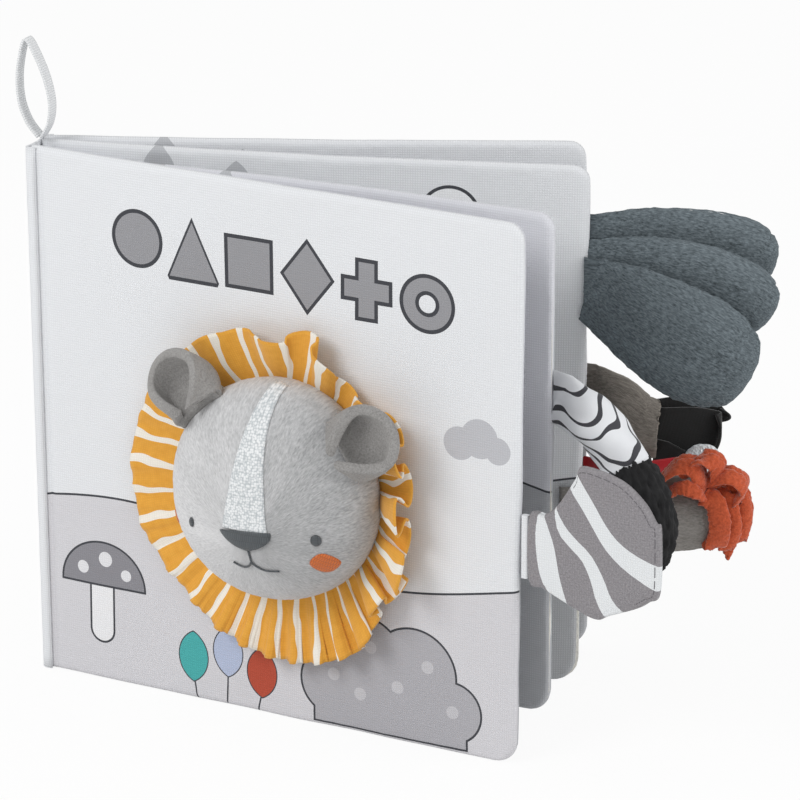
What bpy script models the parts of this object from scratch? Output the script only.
"""A crinkle cloth book: four padded cloth leaves sewn at the spine, a stuffed lion's head in a gathered
mane on the front cover, six soft tails in the leaves' free edges and a ribbon loop on the spine.

The book stands on its lower edge and is fanned open. X runs from the spine to the free edges, -Y is the
side of the front cover, and Z is up. Every leaf hangs on an empty whose Z axis is its sewn hinge line.
"""

import math

import bmesh
import bpy
from mathutils import Matrix, Vector

mm = 0.001

# The book
LEAF_WIDTH = 181 * mm
BOOK_HEIGHT = 180 * mm
SPINE_RISE = 4 * mm
STAND_FROM_SPINE = 3 * mm
STAND_FROM_SEAM = 0.6 * mm
LEAF_THICKNESS = 4 * mm
CLOTH = 0.6 * mm
SEAM_RIM = 0.9 * mm
CLEARANCE = 0.3 * mm
ROOT_GAP = 0.3 * mm
FOAM_THICKNESS = 1.6 * mm
FILM_THICKNESS = 0.3 * mm
UPPER_CORNER_RADIUS = 5 * mm
LOWER_CORNER_RADIUS = 8 * mm
EDGE_ROUND = 0.9 * mm
SPINE_CLOTH = 0.8 * mm
BOW_STEPS = 8

# How each leaf stands: its turn from the X axis, and how far its middle bows to the back
BACK_COVER_TURN = -1.5
LEAF_THREE_TURN = 7.5
LEAF_TWO_TURN = 21.1
FRONT_COVER_TURN = 28.9
BACK_COVER_BOW = -2 * mm
LEAF_THREE_BOW = -3.5 * mm
LEAF_TWO_BOW = 5.5 * mm
FRONT_COVER_BOW = 0
LEAF_TWO_FOOT = 7 * mm
LEAF_TWO_HEAD = 4 * mm

# The lion's head, on the front cover
HEAD_FROM_SPINE = 99 * mm
HEAD_FROM_FOOT = 83.2 * mm
HEAD_HALF_WIDTH = 36.5 * mm
HEAD_HALF_HEIGHT = 36.5 * mm
HEAD_DEPTH = 32 * mm
HEAD_WIDEST_AT = 9 * mm
PLUSH = 1.4 * mm
STUFFING_GAP = 0.6 * mm
HEAD_SIDES = 28
FACE_LIFT = 0.35 * mm
FACE_ASIDE = 2.5 * mm
STITCHES = 0.5 * mm
NOSE_BRIDGE_TOP = 35 * mm
NOSE_BRIDGE_TOP_WIDTH = 7 * mm
NOSE_BRIDGE_WIDTH = 17 * mm
NOSE_TOP = -6.3 * mm
NOSE_WIDTH = 17 * mm
NOSE_HEIGHT = 7.7 * mm
NOSE_THICKNESS = 1 * mm
MOUTH_DROP = 4 * mm
MOUTH_REACH = 8 * mm
MOUTH_LINE = 1 * mm
EYE_SPACING = 45 * mm
EYE_HEIGHT = -9 * mm
EYE_RADIUS = 2.1 * mm
CHEEK_SPACING = 48 * mm
CHEEK_HEIGHT = -16.5 * mm
CHEEK_WIDTH = 9 * mm
CHEEK_TALL = 7.5 * mm

# The mane, a gathered frill
MANE_OUTER_RADIUS = 54 * mm
MANE_INNER_RADIUS = 34.5 * mm
MANE_CLOTH = 0.8 * mm
MANE_FOOT = 0.8 * mm
MANE_LIFT = 5.4 * mm
MANE_FOLD = 2.7 * mm
MANE_GATHERS = 26
POINTS_IN_A_GATHER = 6

# The ears
EAR_LENGTH = 23 * mm
EAR_WIDTH = 24 * mm
EAR_THICKNESS = 2.4 * mm
EAR_CUP = 4 * mm
EAR_HEIGHT = 18 * mm
EAR_GAP = 0.5 * mm
LEFT_EAR_AT = 132
RIGHT_EAR_AT = 34

# The tails, which all start at this gap from a leaf's free edge
EDGE_GAP = 0.8 * mm
TAIL_PLUSH = 1.2 * mm
LIMB_SIDES = 12
STUB_STATIONS = 9
BOTH_ENDS = 2

SLATE_ROOT_HEIGHT = 145 * mm
SLATE_REACH = 60 * mm
SLATE_SPREAD = 40 * mm
SLATE_STACK = 13.5 * mm
SLATE_HALF_WIDTH = 18 * mm
SLATE_HALF_DEPTH = 6.4 * mm

STUB_ROOT_HEIGHT = 66 * mm
STUB_REACH = 42 * mm
STUB_DROP = 1.5 * mm
STUB_FORWARD = 8 * mm
STUB_RADIUS = 13 * mm
FLEECE_LENGTH = 14 * mm
FLEECE_RADIUS = 16 * mm
FLEECE_RISE = 2.5 * mm

STRIPED_ROOT_HEIGHT = 75 * mm
STRIPED_REACH = 45.5 * mm
STRIPED_HEIGHT = 50 * mm
STRIPED_THICKNESS = 3.4 * mm
STRIPED_CORNER = 2.5 * mm
TAB_LENGTH = 2.4 * mm
TAB_THICKNESS = 2 * mm
TAB_HEIGHT = 21 * mm

SPOTTED_ROOT_HEIGHT = 116 * mm
SPOTTED_REACH = 29.5 * mm
SPOTTED_DROP = 57 * mm
SPOTTED_HALF_WIDTH = 10 * mm
SPOTTED_HALF_DEPTH = 9 * mm

BROWN_ROOT_HEIGHT = 89 * mm
BROWN_REACH = 23 * mm
BROWN_DROP = 9.5 * mm
BROWN_FORWARD = 3 * mm
BROWN_HALF_WIDTH = 13.5 * mm
BROWN_HALF_DEPTH = 8 * mm
FLAP_REACH = 25 * mm
FLAP_HALF_WIDTH = 11 * mm
FLAP_THICKNESS = 1.4 * mm
FLAP_SPREAD = 2.5 * mm

RIBBON_ROOT_HEIGHT = 67 * mm
RIBBON_REACH = 31 * mm
RIBBON_RISE = 3.5 * mm
RIBBON_FORWARD = 13.5 * mm
RIBBON_WIDTH = 5.2 * mm
RIBBON_THICKNESS = 1 * mm
RIBBON_TIP_RADIUS = 7 * mm
RIBBON_TIP_THICKNESS = 2.6 * mm

# The sewn roots that lie on a page beside its free edge
PATCH_LENGTH = 8 * mm
PATCH_THICKNESS = 2 * mm

# The hanging loop
LOOP_HEIGHT = 34 * mm
LOOP_WIDTH = 12 * mm
LOOP_LEAN = 4 * mm
RIBBED_WIDTH = 5 * mm
RIBBED_THICKNESS = 0.8 * mm
LOOP_LIFT = 0.9 * mm
LOOP_TURN = 20

SMOOTH_UNDER = 40
LEAF_PITCH = LEAF_THICKNESS + CLEARANCE
HALF_SEAM = CLEARANCE / 2
PAGE_FACE = LEAF_THICKNESS / 2

# Shapes as shares of the sizes above. A limb's row holds its reach, its rise, its step to the front,
# its half width and its half depth, from the sewn root to the tip.
SLATE_TOP_SHARES = (
    (0, 0.27, -0.20, 0.39, 0.17),
    (0.28, 0.23, -0.76, 0.56, 0.72),
    (0.60, 0.17, -1.01, 0.68, 1),
    (0.84, 0.09, -1.01, 0.66, 0.9),
    (0.98, 0.03, -1, 0.30, 0.45),
)
SLATE_MIDDLE_SHARES = (
    (0, 0.05, 0, 0.44, 0.17),
    (0.28, 0.02, 0, 0.60, 0.72),
    (0.60, -0.06, 0, 0.67, 1),
    (0.85, -0.20, 0, 0.64, 0.9),
    (0.99, -0.30, 0, 0.28, 0.45),
)
SLATE_BOTTOM_SHARES = (
    (0, -0.15, 0.20, 0.60, 0.17),
    (0.25, -0.28, 0.76, 0.86, 0.72),
    (0.54, -0.50, 1.01, 1.03, 1),
    (0.77, -0.69, 1.01, 0.90, 0.9),
    (0.88, -0.77, 1, 0.44, 0.45),
)
STUB_SHARES = (
    (0, 0, 0, 0.33, 0.09),
    (0.24, -0.2, 0.55, 0.74, 0.6),
    (0.52, -0.75, 0.95, 0.94, 0.88),
    (0.78, -0.96, 1, 1, 0.94),
    (1, -1, 1, 0.9, 0.86),
)
FLEECE_SHARES = (
    (0, 0, 0, 0.56, 0.56),
    (0.15, 0, 0, 0.88, 0.88),
    (0.45, 0, 0, 1, 1),
    (0.80, 0, 0, 0.82, 0.82),
    (1, 0, 0, 0.42, 0.42),
)
SPOTTED_SHARES = (
    (0, 0, 0, 0.86, 0.13),
    (0.27, -0.02, 0, 0.94, 0.66),
    (0.51, -0.10, 0, 0.9, 0.86),
    (0.68, -0.22, 0, 0.84, 0.88),
    (0.76, -0.33, 0, 0.78, 0.84),
    (0.91, -0.54, 0, 1, 1),
    (1, -0.77, 0, 1, 0.98),
    (0.98, -1, 0, 0.5, 0.5),
)
SPOTTED_TUBE_ROWS = 4
BROWN_SHARES = (
    (0, 0, 0, 1, 0.15),
    (0.35, -0.2, 0.7, 0.88, 0.75),
    (0.70, -0.80, 1, 0.81, 1),
    (1, -1, 1, 0.76, 0.96),
)
FLAP_UPPER_SHARES = (
    (0, 0.25, -0.9, 0.40, 1),
    (0.45, 0.28, -1.2, 0.42, 1),
    (0.80, 0.18, -1.4, 0.36, 1),
    (1, 0.10, -1.5, 0.20, 0.8),
)
FLAP_MIDDLE_SHARES = (
    (0, 0, 0, 0.70, 1),
    (0.40, -0.12, 0, 0.95, 1),
    (0.75, -0.22, 0, 1, 1),
    (0.84, -0.25, 0, 0.92, 0.8),
)
FLAP_LOWER_SHARES = (
    (0, -0.34, 0.9, 0.45, 1),
    (0.20, -0.50, 1.2, 0.52, 1),
    (0.42, -0.62, 1.4, 0.46, 1),
    (0.50, -0.66, 1.5, 0.30, 0.8),
)
RIBBON_SHARES = (
    (0, 0, 0.12, 0.5, 0.5),
    (0.26, 0.15, 0.75, 0.5, 0.5),
    (0.60, 0.55, 1, 0.5, 0.5),
    (1, 1, 1, 0.5, 0.5),
)
STRIPED_OUTLINE_SHARES = (
    (0, -0.21), (0.12, -0.26), (0.35, -0.35), (0.52, -0.40), (0.62, -0.36), (0.82, -0.28), (0.92, -0.22),
    (1, -0.14), (1, 0.26), (0.96, 0.31), (0.87, 0.43), (0.69, 0.55), (0.41, 0.60), (0.35, 0.51),
    (0.22, 0.32), (0.12, 0.24), (0, 0.21),
)
LOOP_RIGHT_SHARES = ((0.05, 0), (0.34, 0.14), (0.5, 0.34), (0.46, 0.58), (0.27, 0.82), (0, 1))


# Helpers


def clear_scene():
    for item in list(bpy.data.objects):
        bpy.data.objects.remove(item, do_unlink=True)


def linear(channel):
    """An sRGB channel from 0 to 255 as the linear value that Blender wants."""
    share = channel / 255
    return share / 12.92 if share <= 0.04045 else ((share + 0.055) / 1.055) ** 2.4


def finish(name, hex_colour, roughness=0.9):
    """A plain material of one colour."""
    made = bpy.data.materials.new(name)
    made.use_nodes = True
    shader = made.node_tree.nodes["Principled BSDF"]
    channels = [linear(int(hex_colour[i : i + 2], 16)) for i in (0, 2, 4)]
    shader.inputs["Base Color"].default_value = (*channels, 1)
    shader.inputs["Roughness"].default_value = roughness
    shader.inputs["Metallic"].default_value = 0
    return made


def empty(name, parent=None, place=(0, 0, 0), turn=0):
    """An empty that carries pieces. Turn is in degrees, clockwise as seen from above."""
    made = bpy.data.objects.new(name, None)
    bpy.context.collection.objects.link(made)
    made.parent = parent
    made.location = place
    made.rotation_euler = (0, 0, -math.radians(turn))
    return made


def piece(name, bm, parent, material):
    """Turns a bmesh into a named object under an empty, with its faces pointing out."""
    bmesh.ops.recalc_face_normals(bm, faces=bm.faces)
    mesh = bpy.data.meshes.new(name)
    bm.to_mesh(mesh)
    bm.free()
    mesh.shade_smooth()
    mesh.set_sharp_from_angle(angle=math.radians(SMOOTH_UNDER))
    mesh.materials.append(material)
    made = bpy.data.objects.new(name, mesh)
    bpy.context.collection.objects.link(made)
    made.parent = parent
    return made


def thicken(item, thickness, offset=-1):
    """Gives a surface its thickness: to the inside at offset -1, to both sides at 0."""
    wall = item.modifiers.new("thickness", "SOLIDIFY")
    wall.thickness = thickness
    wall.offset = offset
    wall.use_even_offset = True
    wall.use_rim = True


def flat_face(bm, points):
    """One face through points given as (x, z), in the plane y = 0."""
    return bm.faces.new([bm.verts.new((x, 0, z)) for x, z in points])


def push(bm, face, distance):
    """Extrudes a face along Y and returns the face at its end."""
    moved = bmesh.ops.extrude_face_region(bm, geom=[face])["geom"]
    verts = [part for part in moved if isinstance(part, bmesh.types.BMVert)]
    bmesh.ops.translate(bm, verts=verts, vec=(0, distance, 0))
    return next(part for part in moved if isinstance(part, bmesh.types.BMFace))


def hollow(bm, face, distance):
    """Sinks a face inside a rim, which leaves a pocket behind the rim."""
    bmesh.ops.inset_region(bm, faces=[face], thickness=SEAM_RIM, use_even_offset=True)
    push(bm, face, distance)
    bmesh.ops.delete(bm, geom=[face], context="FACES_ONLY")


def round_off(bm, parts, radius, segments, affect):
    bmesh.ops.bevel(
        bm, geom=parts, offset=radius, segments=segments, profile=0.5, affect=affect, material=-1
    )


def between(rows, place):
    """A row of a table at any place along it, on a smooth curve through the rows."""
    last = len(rows) - 1
    start = min(int(place), last - 1)
    t = place - start
    before, here, after, beyond = (rows[max(0, min(last, start + step))] for step in (-1, 0, 1, 2))
    bend = [(c - a, 2 * a - 5 * b + 4 * c - d, 3 * (b - c) + d - a) for a, b, c, d in zip(before, here, after, beyond)]
    return [b + (t * p + t * t * q + t * t * t * r) / 2 for b, (p, q, r) in zip(here, bend)]


def limb_rings(shares, sizes, stations, rows=None, inside=0, square_ends=1):
    """Ellipses that stand square to a limb's path, each as its centre and its two half axes.

    Rows are the places in the table where the limb starts and ends. Inside is what a lining or a
    filling keeps to the limb's surface, and less where the limb is sewn flat. The sewn end, and with
    two square ends the far one too, stands square to the leaf.
    """
    first, last = rows or (0, len(shares) - 1)
    reach, rise, forward, half_width, half_depth = sizes
    nudge_share, flat_share = 0.02, 0.5

    def centre_at(place):
        row = between(shares, max(0, min(len(shares) - 1, place)))
        return Vector((row[0] * reach, -row[2] * forward, row[1] * rise))

    rings = []
    for step in range(stations):
        place = first + (last - first) * step / (stations - 1)
        along = (centre_at(place + nudge_share) - centre_at(place - nudge_share)).normalized()
        if (place == 0 and square_ends) or (step == stations - 1 and square_ends == BOTH_ENDS):
            along = Vector((1, 0, 0))
        side = Vector((0, 1, 0)).cross(along).normalized()
        across = along.cross(side)
        row = between(shares, place)
        width, depth = row[3] * half_width, row[4] * half_depth
        taken = min(inside, flat_share * min(width, depth))
        rings.append((centre_at(place), side * (width - taken), across * (depth - taken)))
    return rings


def skin(bm, rings, sides):
    """Ellipses joined in order by quads. Returns the points of the first and of the last."""
    loops = []
    for centre, side, across in rings:
        normal = side.cross(across).normalized()
        stand = Matrix.Translation(centre) @ Matrix((side, across, normal)).transposed().to_4x4()
        loops.append(bmesh.ops.create_circle(bm, segments=sides, radius=1, matrix=stand)["verts"])
    for near, far in zip(loops, loops[1:]):
        join(bm, near, far)
    return loops[0], loops[-1]


def join(bm, near, far):
    """A band of quads between two rings of as many points."""
    for step in range(len(near)):
        bm.faces.new((near[step - 1], near[step], far[step], far[step - 1]))


def solid(name, parent, material, rings, sides=LIMB_SIDES):
    """A closed body through a row of ellipses."""
    bm = bmesh.new()
    for end in skin(bm, rings, sides):
        bm.faces.new(end)
    return piece(name, bm, parent, material)


def shell(name, parent, material, outer, inner, sides=LIMB_SIDES):
    """A skin of plush or cloth, which is open only at its sewn root."""
    bm = bmesh.new()
    root, tip = skin(bm, outer, sides)
    lining_root, lining_tip = skin(bm, inner, sides)
    bm.faces.new(tip)
    bm.faces.new(lining_tip)
    join(bm, root, lining_root)
    return piece(name, bm, parent, material)


def stuffed_limb(names, parent, materials, shares, sizes, stations=7, end=None, square_ends=1):
    """A plush limb that is open where it is sewn in, and the stuffing inside it."""
    end = end or len(shares) - 1
    outer = limb_rings(shares, sizes, stations, (0, end), 0, square_ends)
    lining = limb_rings(shares, sizes, stations, (0, end), TAIL_PLUSH, square_ends)
    tip, side, across = lining[-1]
    back = across.cross(side).normalized() * TAIL_PLUSH
    lining[-1] = (tip + back, side, across)
    shell(names[0], parent, materials[0], outer, lining)
    start_share, end_share = 0.3, 0.8
    rows = (end * start_share, end * end_share)
    solid(names[1], parent, materials[1], limb_rings(shares, sizes, stations - 2, rows, TAIL_PLUSH + STUFFING_GAP))


# The leaves


def follow_bow(bm, bow):
    """Bends what lies flat along a leaf as the leaf bows."""
    for vert in bm.verts:
        vert.co.y += bow * math.sin(math.pi * vert.co.x / LEAF_WIDTH)


def leaf_layer(name, parent, material, shape, layer, pocket=False):
    """One layer of a leaf, from a face that is pushed out of the seam's plane.

    Shape is the leaf's lowest and highest z, its bow, and a margin that the layer keeps to the leaf's
    outline. Layer is where it starts and ends in the leaf's thickness. A pocket is the room that a
    cloth panel leaves for the foam and the film.
    """
    low, high, bow, margin = shape
    start, end = layer
    left, right = ROOT_GAP + margin, LEAF_WIDTH - margin
    low, high = low + margin, high - margin
    bm = bmesh.new()
    seam = flat_face(bm, ((left, low), (right, low), (right, high), (left, high + SPINE_RISE)))
    lower, upper = seam.verts[1], seam.verts[2]
    round_off(bm, [lower], LOWER_CORNER_RADIUS - margin, 4, "VERTICES")
    round_off(bm, [upper], UPPER_CORNER_RADIUS - margin, 3, "VERTICES")
    seam = next(iter(bm.faces))
    bmesh.ops.translate(bm, verts=bm.verts, vec=(0, start, 0))
    outer = push(bm, seam, end - start)
    if pocket:
        outer_edges = list(outer.edges)
        hollow(bm, seam, math.copysign(abs(end - start) - CLOTH, end - start))
        round_off(bm, outer_edges, EDGE_ROUND, 2, "EDGES")
    for step in range(1, BOW_STEPS):
        place = (LEAF_WIDTH * step / BOW_STEPS, 0, 0)
        everything = bm.verts[:] + bm.edges[:] + bm.faces[:]
        bmesh.ops.bisect_plane(bm, geom=everything, plane_co=place, plane_no=(1, 0, 0))
    follow_bow(bm, bow)
    return piece(name, bm, parent, material)


def leaf(name, front, back, parent, span, bow, materials):
    """Two cloth panels sewn edge to edge, with a foam pad and a crinkle film shut inside."""
    cloth, foam, film = materials
    inner = PAGE_FACE - CLOTH - CLEARANCE
    panel = (*span, bow, 0)
    packed = (*span, bow, SEAM_RIM + CLEARANCE)
    leaf_layer(f"{name}_{front}_cloth", parent, cloth, panel, (-HALF_SEAM, -PAGE_FACE), True)
    leaf_layer(f"{name}_{back}_cloth", parent, cloth, panel, (HALF_SEAM, PAGE_FACE), True)
    leaf_layer(f"{name}_foam", parent, foam, packed, (-inner, FOAM_THICKNESS - inner))
    leaf_layer(f"{name}_film", parent, film, packed, (inner - FILM_THICKNESS, inner))


def spine_cloth(parent, roots, material):
    """The strip that wraps the sewn roots, through points given from the front to the back."""
    bm = bmesh.new()
    foot = [bm.verts.new((point.x, point.y, 0)) for point in roots]
    edges = [bm.edges.new(pair) for pair in zip(foot, foot[1:])]
    raised = bmesh.ops.extrude_edge_only(bm, edges=edges)["geom"]
    top = [part for part in raised if isinstance(part, bmesh.types.BMVert)]
    bmesh.ops.translate(bm, verts=top, vec=(0, 0, BOOK_HEIGHT + SPINE_RISE))
    thicken(piece("spine_cloth", bm, parent, material), SPINE_CLOTH, 0)


# The lion's head


def dome_height(x, z):
    """How far the head stands out, at x and z from its middle."""
    reach = min(1, math.hypot(x / HEAD_HALF_WIDTH, z / HEAD_HALF_HEIGHT))
    return HEAD_WIDEST_AT + (HEAD_DEPTH - HEAD_WIDEST_AT) * math.sqrt(1 - reach * reach)


def dome_point(x, z, lift):
    """A point that lies lift above the head's plush, at x and z from the face's middle."""
    x += FACE_ASIDE
    height = dome_height(x, z)
    crown = HEAD_DEPTH - HEAD_WIDEST_AT
    slope = Vector((x / HEAD_HALF_WIDTH**2, (HEAD_WIDEST_AT - height) / crown**2, z / HEAD_HALF_HEIGHT**2))
    return Vector((x, -height, z)) + slope.normalized() * lift


def head_rings(inside, base):
    """The head's rings from its sewn base to its crown, taken in by inside."""
    steps = 7
    crown_turn = 83
    base_share, swell_share, swell_height_share = 0.9, 0.975, 0.45
    swell = base + (HEAD_WIDEST_AT - base) * swell_height_share
    profile = [(base_share, base), (swell_share, swell)]
    for step in range(steps):
        turn = math.radians(crown_turn * step / (steps - 1))
        profile.append((math.cos(turn), HEAD_WIDEST_AT + (HEAD_DEPTH - inside - HEAD_WIDEST_AT) * math.sin(turn)))
    rings = []
    for share, height in profile:
        taken = inside * min(1, share)
        side = Vector((HEAD_HALF_WIDTH * share - taken, 0, 0))
        across = Vector((0, 0, HEAD_HALF_HEIGHT * share - taken))
        rings.append((Vector((0, -height, 0)), side, across))
    return rings


def lion_head(parent, plush, stuffing):
    shell("lion_head_plush", parent, plush, head_rings(0, 0), head_rings(PLUSH, 0), HEAD_SIDES)
    inside = PLUSH + STUFFING_GAP
    solid("lion_head_stuffing", parent, stuffing, head_rings(inside, CLEARANCE), HEAD_SIDES)


def mane(parent, material):
    """A frill whose folds grow from its sewn inner edge to its hem."""
    around = MANE_GATHERS * POINTS_IN_A_GATHER
    bm = bmesh.new()
    loops = []
    for share in (0, 0.5, 1):
        radius = MANE_INNER_RADIUS + (MANE_OUTER_RADIUS - MANE_INNER_RADIUS) * share
        stand = Matrix.Rotation(math.radians(90), 4, "X")
        ring = bmesh.ops.create_circle(bm, segments=around, radius=radius, matrix=stand)["verts"]
        for vert in ring:
            fold = math.sin(MANE_GATHERS * math.atan2(vert.co.z, vert.co.x))
            vert.co.y = -MANE_FOOT - share * (MANE_LIFT + MANE_FOLD * fold)
        loops.append(list({edge for vert in ring for edge in vert.link_edges}))
    for near, far in zip(loops, loops[1:]):
        bmesh.ops.bridge_loops(bm, edges=near + far)
    thicken(piece("lion_mane", bm, parent, material), MANE_CLOTH, 0)


def ear(name, parent, material):
    """A cupped ear with a straight root: its length lies along X, and the hollow faces the front."""
    rows, columns = 6, 6
    root_width_share, widest_share, tip_width_share = 0.62, 0.7, 0.35
    corner_pull, corner_power, tip_power, rim_share = 0.42, 2.4, 4, 0.22
    bm = bmesh.new()
    bmesh.ops.create_grid(bm, x_segments=rows, y_segments=columns, size=1)
    for vert in bm.verts:
        along, across = (vert.co.x + 1) / 2, vert.co.y
        swell = root_width_share + (1 - root_width_share) * math.sin(math.pi * min(1, along / widest_share) / 2)
        pulled = along * (1 - abs(across) ** corner_power * corner_pull)
        width = swell * (tip_width_share + (1 - tip_width_share) * math.sqrt(max(0, 1 - pulled**tip_power)))
        hollow = math.sin(math.pi * along) * (1 - across * across)
        vert.co = (
            EAR_LENGTH * along * (1 - rim_share * across * across),
            EAR_CUP * hollow,
            EAR_WIDTH / 2 * across * width,
        )
    thicken(piece(name, bm, parent, material), EAR_THICKNESS, 0)


def dome_patch(name, parent, material, rows, thickness):
    """A stitched patch on the head: rows of points from its top to its foot, as (x, z)."""
    bm = bmesh.new()
    made = [[bm.verts.new(dome_point(x, z, FACE_LIFT)) for x, z in row] for row in rows]
    for upper, lower in zip(made, made[1:]):
        for step in range(len(upper) - 1):
            bm.faces.new((upper[step], upper[step + 1], lower[step + 1], lower[step]))
    thicken(piece(name, bm, parent, material), thickness, 1)


def band_rows(top, foot, half_width_at, steps, columns=4):
    """Rows of points across a shape that is even about its middle line."""
    rows = []
    for step in range(steps + 1):
        share = step / steps
        half = half_width_at(share)
        z = top + (foot - top) * share
        rows.append([(half * (2 * column / columns - 1), z) for column in range(columns + 1)])
    return rows


def oval(name, parent, material, middle, half_sizes, thickness=STITCHES, around=12):
    """A small stitched oval on the head."""
    bm = bmesh.new()
    rings = []
    for share in (0.5, 1):
        ring = bmesh.ops.create_circle(bm, segments=around, radius=share)["verts"]
        for vert in ring:
            x, z = middle[0] + vert.co.x * half_sizes[0], middle[1] + vert.co.y * half_sizes[1]
            vert.co = dome_point(x, z, FACE_LIFT)
        rings.append(ring)
    join(bm, *rings)
    bm.faces.new(rings[0])
    thicken(piece(name, bm, parent, material), thickness, 1)


def mouth(parent, material):
    """A short line down from the nose that parts into two curved ones."""
    half_line = MOUTH_LINE / 2
    top = NOSE_TOP - NOSE_HEIGHT - CLEARANCE * 2
    fork = top - MOUTH_DROP
    lift_share, tip_drop_share = 0.35, 0.12
    bm = bmesh.new()
    upper = [bm.verts.new(dome_point(side * half_line, top, FACE_LIFT)) for side in (-1, 1)]
    neck = [bm.verts.new(dome_point(side * half_line, fork, FACE_LIFT)) for side in (-1, 1)]
    under = bm.verts.new(dome_point(0, fork - MOUTH_LINE, FACE_LIFT))
    bm.faces.new((upper[0], upper[1], neck[1], neck[0]))
    bm.faces.new((neck[0], neck[1], under))
    for side, start in zip((-1, 1), neck):
        edge = (start, under)
        for step in (1, 2, 3):
            share = step / 3
            x = side * (half_line + MOUTH_REACH * share)
            dip = MOUTH_DROP * (lift_share * math.sin(math.pi * share) + tip_drop_share * share)
            z = fork - dip
            ahead = tuple(bm.verts.new(dome_point(x, z + shift, FACE_LIFT)) for shift in (0, -MOUTH_LINE))
            bm.faces.new((edge[0], ahead[0], ahead[1], edge[1]))
            edge = ahead
    thicken(piece("lion_mouth", bm, parent, material), STITCHES, 1)


def lion_face(parent, white_thread, dark_thread, orange_thread):
    def bridge(share):
        return (NOSE_BRIDGE_TOP_WIDTH + (NOSE_BRIDGE_WIDTH - NOSE_BRIDGE_TOP_WIDTH) * share) / 2

    def nose(share):
        return NOSE_WIDTH / 2 * math.sqrt(1 - (share * tip_share) ** 2)

    tip_share = 0.97
    bridge_foot = NOSE_TOP + CLEARANCE * 2
    rows = band_rows(NOSE_BRIDGE_TOP, bridge_foot, bridge, 9)
    dome_patch("lion_nose_bridge", parent, white_thread, rows, STITCHES)
    rows = band_rows(NOSE_TOP, NOSE_TOP - NOSE_HEIGHT, nose, 5)
    dome_patch("lion_nose", parent, dark_thread, rows, NOSE_THICKNESS)
    mouth(parent, dark_thread)
    for side, word in ((-1, "left"), (1, "right")):
        eye = (side * EYE_SPACING / 2, EYE_HEIGHT)
        oval(f"lion_eye_{word}", parent, dark_thread, eye, (EYE_RADIUS, EYE_RADIUS))
        cheek = (side * CHEEK_SPACING / 2, CHEEK_HEIGHT)
        oval(f"lion_cheek_{word}", parent, orange_thread, cheek, (CHEEK_WIDTH / 2, CHEEK_TALL / 2))


def ear_place(turn):
    """Where an ear is sewn on: just outside the head, at the ear's height above the cover."""
    share = math.sqrt(1 - ((EAR_HEIGHT - HEAD_WIDEST_AT) / (HEAD_DEPTH - HEAD_WIDEST_AT)) ** 2)
    angle = math.radians(turn)
    x = (HEAD_HALF_WIDTH * share + EAR_GAP + EAR_THICKNESS / 2) * math.cos(angle)
    z = (HEAD_HALF_HEIGHT * share + EAR_GAP + EAR_THICKNESS / 2) * math.sin(angle)
    return Vector((x, -EAR_HEIGHT, z))


# The tails


def slate_tail(parent, plush, stuffing):
    sizes = (SLATE_REACH, SLATE_SPREAD, SLATE_STACK, SLATE_HALF_WIDTH, SLATE_HALF_DEPTH)
    for word, shares in (
        ("top", SLATE_TOP_SHARES), ("middle", SLATE_MIDDLE_SHARES), ("bottom", SLATE_BOTTOM_SHARES)
    ):
        names = (f"slate_lobe_{word}", f"slate_stuffing_{word}")
        stuffed_limb(names, parent, (plush, stuffing), shares, sizes)


def stub_tail(parent, plush, stuffing, fleece):
    sizes = (STUB_REACH, STUB_DROP, STUB_FORWARD, STUB_RADIUS, STUB_RADIUS)
    names = ("stub_tail_plush", "stub_tail_stuffing")
    stuffed_limb(names, parent, (plush, stuffing), STUB_SHARES, sizes, STUB_STATIONS, square_ends=BOTH_ENDS)
    sizes = (FLEECE_LENGTH, FLEECE_LENGTH, FLEECE_LENGTH, FLEECE_RADIUS, FLEECE_RADIUS)
    place = empty("fleece_loops_place", parent, (STUB_REACH + CLEARANCE, -STUB_FORWARD, FLEECE_RISE - STUB_DROP))
    solid("stub_tail_fleece_loops", place, fleece, limb_rings(FLEECE_SHARES, sizes, 7))


def striped_tail(parent, cloth, film, tab_cloth):
    """A flat crinkle leaf of two cloth faces with film inside, on a folded tab."""
    half = STRIPED_THICKNESS / 2
    inner = half - CLOTH - CLEARANCE
    start = TAB_LENGTH + CLEARANCE
    outline = [(start + x * STRIPED_REACH, z * STRIPED_HEIGHT) for x, z in STRIPED_OUTLINE_SHARES]
    for word, side in (("front", -1), ("back", 1)):
        bm = bmesh.new()
        seam = flat_face(bm, outline)
        bmesh.ops.translate(bm, verts=bm.verts, vec=(0, side * HALF_SEAM, 0))
        outer = push(bm, seam, side * (half - HALF_SEAM))
        outer_edges = list(outer.edges)
        hollow(bm, seam, side * (half - HALF_SEAM - CLOTH))
        round_off(bm, outer_edges, EDGE_ROUND, 2, "EDGES")
        piece(f"striped_tail_{word}_cloth", bm, parent, cloth)
    bm = bmesh.new()
    seam = flat_face(bm, outline)
    push(bm, seam, FILM_THICKNESS)
    bmesh.ops.inset_region(bm, faces=[seam], thickness=SEAM_RIM + CLEARANCE, use_even_offset=True)
    bmesh.ops.delete(bm, geom=[face for face in bm.faces if face != seam], context="FACES")
    push(bm, seam, FILM_THICKNESS)
    piece("striped_tail_film", bm, parent, film)
    bm = bmesh.new()
    tab_height = TAB_HEIGHT / 2
    tab = flat_face(bm, ((0, -tab_height), (TAB_LENGTH, -tab_height), (TAB_LENGTH, tab_height), (0, tab_height)))
    bmesh.ops.translate(bm, verts=bm.verts, vec=(0, -TAB_THICKNESS / 2, 0))
    push(bm, tab, TAB_THICKNESS)
    piece("striped_tail_tab", bm, parent, tab_cloth)


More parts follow.
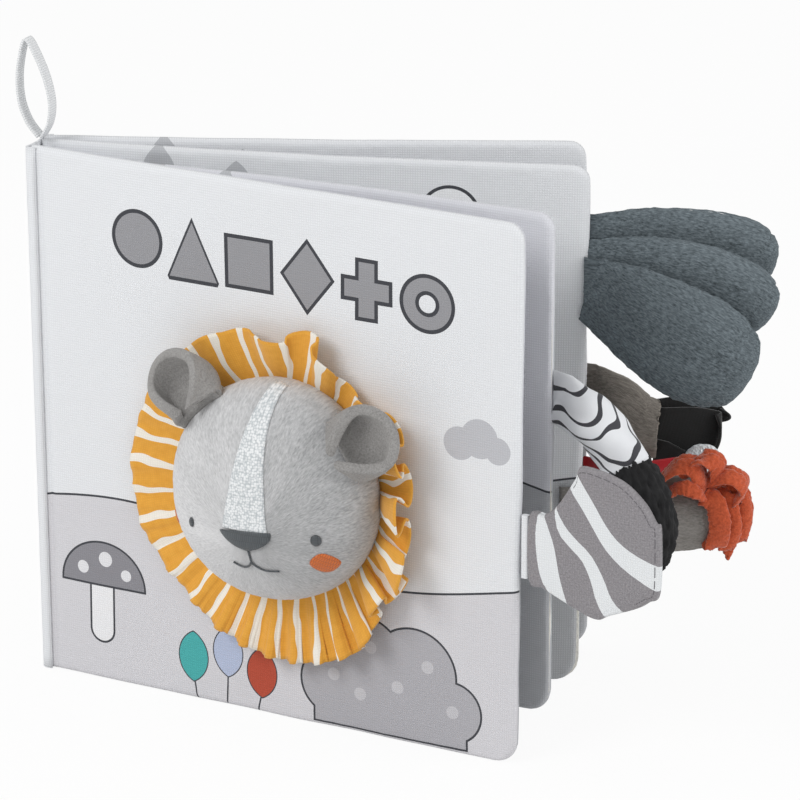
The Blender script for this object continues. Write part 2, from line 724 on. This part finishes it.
def spotted_tail(parent, cloth, stuffing, plush):
    sizes = (SPOTTED_REACH, SPOTTED_DROP, SPOTTED_HALF_DEPTH, SPOTTED_HALF_WIDTH, SPOTTED_HALF_DEPTH)
    names = ("spotted_tail_tube", "spotted_tail_stuffing")
    stuffed_limb(names, parent, (cloth, stuffing), SPOTTED_SHARES, sizes, 7, SPOTTED_TUBE_ROWS)
    rings = limb_rings(SPOTTED_SHARES, sizes, 6, (SPOTTED_TUBE_ROWS, len(SPOTTED_SHARES) - 1))
    centre, side, across = rings[0]
    apart = side.cross(across).normalized() * CLEARANCE
    rings = [(centre + apart, side, across) for centre, side, across in rings]
    solid("spotted_tail_tuft", parent, plush, rings)


def brown_tail(parent, plush, stuffing, black_cloth):
    sizes = (BROWN_REACH, BROWN_DROP, BROWN_FORWARD, BROWN_HALF_WIDTH, BROWN_HALF_DEPTH)
    names = ("brown_tail_tube", "brown_tail_stuffing")
    stuffed_limb(names, parent, (plush, stuffing), BROWN_SHARES, sizes, square_ends=BOTH_ENDS)
    mouth_place = empty("flaps_place", parent, (BROWN_REACH + CLEARANCE * 2, -BROWN_FORWARD, -BROWN_DROP))
    sizes = (FLAP_REACH, FLAP_HALF_WIDTH * 2, FLAP_SPREAD, FLAP_HALF_WIDTH, FLAP_THICKNESS / 2)
    for word, shares in (
        ("upper", FLAP_UPPER_SHARES), ("middle", FLAP_MIDDLE_SHARES), ("lower", FLAP_LOWER_SHARES)
    ):
        solid(f"brown_tail_flap_{word}", mouth_place, black_cloth, limb_rings(shares, sizes, 6), 10)


def ribbon_tail(parent, red_ribbon, pale_cloth):
    sizes = (RIBBON_REACH, RIBBON_RISE, RIBBON_FORWARD, RIBBON_WIDTH, RIBBON_THICKNESS)
    solid("ribbon_tail_ribbon", parent, red_ribbon, limb_rings(RIBBON_SHARES, sizes, 8), 8)
    middle = Vector((RIBBON_REACH + CLEARANCE + RIBBON_TIP_RADIUS, -RIBBON_FORWARD, RIBBON_RISE))
    side, across = Vector((RIBBON_TIP_RADIUS, 0, 0)), Vector((0, 0, RIBBON_TIP_RADIUS))
    half = RIBBON_TIP_THICKNESS / 2
    rim_share = 0.72
    rings = [
        (middle + Vector((0, y, 0)), side * share, across * share)
        for y, share in ((-half, rim_share), (-half * rim_share / 2, 1), (half * rim_share / 2, 1), (half, rim_share))
    ]
    solid("ribbon_tail_tip", parent, pale_cloth, rings, 16)


def root_patch(name, parent, material, sizes, root_height, bow):
    """A sewn root that lies on a page's front face, beside the free edge. Parent is the leaf's middle."""
    height, thickness = sizes
    left, right = LEAF_WIDTH - PATCH_LENGTH, LEAF_WIDTH - EDGE_ROUND
    half = height / 2
    bm = bmesh.new()
    face = flat_face(bm, ((left, -half), (right, -half), (right, half), (left, half)))
    outer = push(bm, face, -thickness)
    round_off(bm, list(outer.edges), thickness / 2, 2, "EDGES")
    follow_bow(bm, bow)
    made = piece(name, bm, parent, material)
    made.location = (0, -PAGE_FACE - CLEARANCE, root_height)


# The hanging loop


def hanging_loop(parent, material):
    """A ribbed ribbon bent to a teardrop, with both its ends sewn in at the foot."""
    left = [(-x, z) for x, z in reversed(LOOP_RIGHT_SHARES[:-1])]
    bm = bmesh.new()
    foot = [
        bm.verts.new((x * LOOP_WIDTH - z * LOOP_LEAN, -RIBBED_WIDTH / 2, RIBBED_THICKNESS / 2 + z * LOOP_HEIGHT))
        for x, z in [*LOOP_RIGHT_SHARES, *left]
    ]
    edges = [bm.edges.new(pair) for pair in zip(foot, foot[1:] + foot[:1])]
    moved = bmesh.ops.extrude_edge_only(bm, edges=edges)["geom"]
    side = [part for part in moved if isinstance(part, bmesh.types.BMVert)]
    bmesh.ops.translate(bm, verts=side, vec=(0, RIBBED_WIDTH, 0))
    thicken(piece("hanging_loop", bm, parent, material), RIBBED_THICKNESS, 0)


# The book


def build():
    clear_scene()
    printed = finish("printed_polyester", "eceef1", 0.85)
    foam = finish("foam", "f4f2ea", 0.95)
    film = finish("crinkle_film", "dfe6ea", 0.25)
    head_plush = finish("pale_grey_plush", "bdbab7", 0.95)
    stub_plush = finish("warm_grey_plush", "a19d99", 0.95)
    slate_plush = finish("slate_plush", "5f6970", 0.95)
    brown_plush = finish("taupe_plush", "8c8680", 0.95)
    black_plush = finish("black_plush", "17181a", 0.95)
    black_cloth = finish("black_cloth", "141414", 0.9)
    stuffing = finish("polyester_stuffing", "f7f7f5", 0.95)
    mane_cloth = finish("mane_cotton", "e2a032", 0.85)
    white_thread = finish("white_thread", "e6e8ea", 0.6)
    dark_thread = finish("charcoal_thread", "4a4f53", 0.6)
    orange_thread = finish("orange_thread", "dd7127", 0.6)
    fleece = finish("orange_fleece", "c8512f", 0.95)
    striped = finish("striped_polyester", "8f8b8e", 0.85)
    white_cloth = finish("white_cloth", "e9ebee", 0.85)
    red_ribbon = finish("red_ribbon", "c3202b", 0.5)
    pale_cloth = finish("pale_lining", "dfe3e6", 0.5)
    ribbed = finish("ribbed_ribbon", "dfe2e4", 0.8)

    leaf_materials = (printed, foam, film)
    whole = (0, BOOK_HEIGHT)
    trimmed = (LEAF_TWO_FOOT, BOOK_HEIGHT - LEAF_TWO_HEAD)
    middle = -LEAF_PITCH / 2

    back_cover = empty("back_cover_place", None, (-STAND_FROM_SPINE, -STAND_FROM_SEAM, 0), BACK_COVER_TURN)
    leaf("back_cover", "inner", "outer", back_cover, whole, BACK_COVER_BOW, leaf_materials)

    turn = LEAF_THREE_TURN - BACK_COVER_TURN
    leaf_three = empty("leaf_three_hinge", back_cover, (0, middle, 0), turn)
    leaf_three_middle = empty("leaf_three_middle", leaf_three, (0, middle, 0))
    leaf("leaf_three", "front", "back", leaf_three_middle, whole, LEAF_THREE_BOW, leaf_materials)

    turn = LEAF_TWO_TURN - LEAF_THREE_TURN
    leaf_two = empty("leaf_two_hinge", leaf_three, (0, -LEAF_PITCH, 0), turn)
    leaf_two_middle = empty("leaf_two_middle", leaf_two, (0, middle, 0))
    leaf("leaf_two", "front", "back", leaf_two_middle, trimmed, LEAF_TWO_BOW, leaf_materials)

    turn = FRONT_COVER_TURN - LEAF_TWO_TURN
    front_cover = empty("front_cover_hinge", leaf_two, (0, -LEAF_PITCH, 0), turn)
    front_cover_middle = empty("front_cover_middle", front_cover, (0, middle, 0))
    leaf("front_cover", "outer", "inner", front_cover_middle, whole, FRONT_COVER_BOW, leaf_materials)
    bpy.context.view_layer.update()

    wrap = ROOT_GAP / 2 + SPINE_CLOTH / 2
    lap = LEAF_THICKNESS / 2
    outside = PAGE_FACE + CLEARANCE + SPINE_CLOTH / 2
    into_back_cover = back_cover.matrix_world.inverted()

    def root_point(place, x, y):
        return into_back_cover @ place.matrix_world @ Vector((x, y, 0))

    roots = [
        root_point(front_cover_middle, lap, -outside),
        root_point(front_cover_middle, 0, -outside),
        root_point(front_cover_middle, -wrap, -PAGE_FACE),
        root_point(front_cover_middle, -wrap, 0),
        root_point(leaf_two_middle, -wrap, 0),
        root_point(leaf_three_middle, -wrap, 0),
        root_point(back_cover, -wrap, 0),
        root_point(back_cover, -wrap, PAGE_FACE),
        root_point(back_cover, 0, outside),
        root_point(back_cover, lap, outside),
    ]
    spine_cloth(back_cover, roots, printed)

    base = (HEAD_FROM_SPINE, -PAGE_FACE - CLEARANCE, HEAD_FROM_FOOT)
    head = empty("lion_head_place", front_cover_middle, base)
    lion_head(head, head_plush, stuffing)
    mane(head, mane_cloth)
    lion_face(head, white_thread, dark_thread, orange_thread)
    for word, at in (("left", LEFT_EAR_AT), ("right", RIGHT_EAR_AT)):
        hinge = empty(f"lion_ear_{word}_hinge", head, ear_place(at))
        hinge.rotation_euler = (0, -math.radians(at), 0)
        ear(f"lion_ear_{word}", hinge, head_plush)

    edge = LEAF_WIDTH + EDGE_GAP
    slate_tail(empty("slate_tail_hinge", leaf_three_middle, (edge, 0, SLATE_ROOT_HEIGHT)), slate_plush, stuffing)
    place = empty("stub_tail_hinge", leaf_three_middle, (edge, 0, STUB_ROOT_HEIGHT))
    stub_tail(place, stub_plush, stuffing, fleece)
    place = empty("striped_tail_hinge", front_cover_middle, (edge, 0, STRIPED_ROOT_HEIGHT))
    striped_tail(place, striped, film, white_cloth)
    place = empty("spotted_tail_hinge", leaf_two_middle, (edge, 0, SPOTTED_ROOT_HEIGHT))
    spotted_tail(place, white_cloth, stuffing, black_plush)
    place = empty("brown_tail_hinge", back_cover, (edge, 0, BROWN_ROOT_HEIGHT))
    brown_tail(place, brown_plush, stuffing, black_cloth)
    place = empty("ribbon_tail_hinge", back_cover, (edge, 0, RIBBON_ROOT_HEIGHT))
    ribbon_tail(place, red_ribbon, pale_cloth)

    sizes = (PATCH_LENGTH, PATCH_THICKNESS)
    root_patch("stub_tail_root", leaf_three_middle, stub_plush, sizes, STUB_ROOT_HEIGHT, LEAF_THREE_BOW)
    sizes = (BROWN_HALF_WIDTH * 2, PATCH_THICKNESS)
    root_patch("brown_tail_root", back_cover, brown_plush, sizes, BROWN_ROOT_HEIGHT, BACK_COVER_BOW)
    sizes = (RIBBON_WIDTH, RIBBON_THICKNESS)
    root_patch("ribbon_tail_root", back_cover, red_ribbon, sizes, RIBBON_ROOT_HEIGHT, BACK_COVER_BOW)

    loop_foot = (0, -LEAF_PITCH * 3 / 2, BOOK_HEIGHT + SPINE_RISE + LOOP_LIFT)
    hanging_loop(empty("hanging_loop_hinge", back_cover, loop_foot, LOOP_TURN), ribbed)


build()
